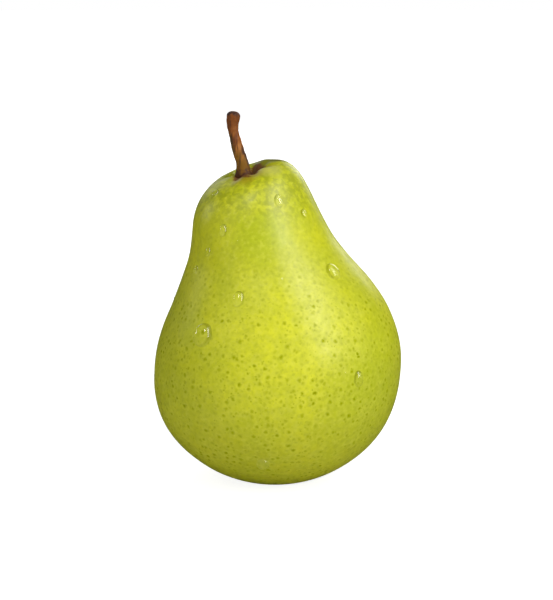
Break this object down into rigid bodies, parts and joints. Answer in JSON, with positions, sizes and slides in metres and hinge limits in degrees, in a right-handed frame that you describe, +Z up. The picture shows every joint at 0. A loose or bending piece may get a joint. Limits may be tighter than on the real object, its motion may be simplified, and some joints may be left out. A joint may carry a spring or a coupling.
{
  "type": "pear",
  "caption": "Ripe green pear with a leaning neck, a bent woody stem, a dried calyx underneath and beads of water on its dotted skin.",
  "frame": {"origin": "on the ground under the middle of the fruit, the bottom centre of the bounding box", "axes": "+Z up along the fruit's height, -Y is the front with most of the water drops, +X to the right of it; the neck leans towards -X"},
  "size_m": [0.0788, 0.0786, 0.1175],
  "materials": {
    "skin": "satin yellow-green pear skin with darker green dots",
    "bark": "matte reddish-brown stem bark with a dark tip",
    "dried_calyx": "matte dark brown dried sepals",
    "water": "clear water"
  },
  "bodies": {
    "root": {"fruit": "skin", "stem": "bark", "calyx_cup": "dried_calyx", "sepal_1": "dried_calyx", "sepal_2": "dried_calyx", "sepal_3": "dried_calyx", "sepal_4": "dried_calyx", "sepal_5": "dried_calyx", "water_drop_01": "water", "water_drop_02": "water", "water_drop_03": "water", "water_drop_04": "water", "water_drop_05": "water", "water_drop_06": "water", "water_drop_07": "water", "water_drop_08": "water", "water_drop_09": "water", "water_drop_10": "water", "water_drop_11": "water", "water_drop_12": "water", "water_drop_13": "water", "water_drop_14": "water", "water_drop_15": "water", "water_drop_16": "water", "water_drop_17": "water", "water_drop_18": "water", "water_drop_19": "water", "water_drop_20": "water"}
  },
  "joints": []
}
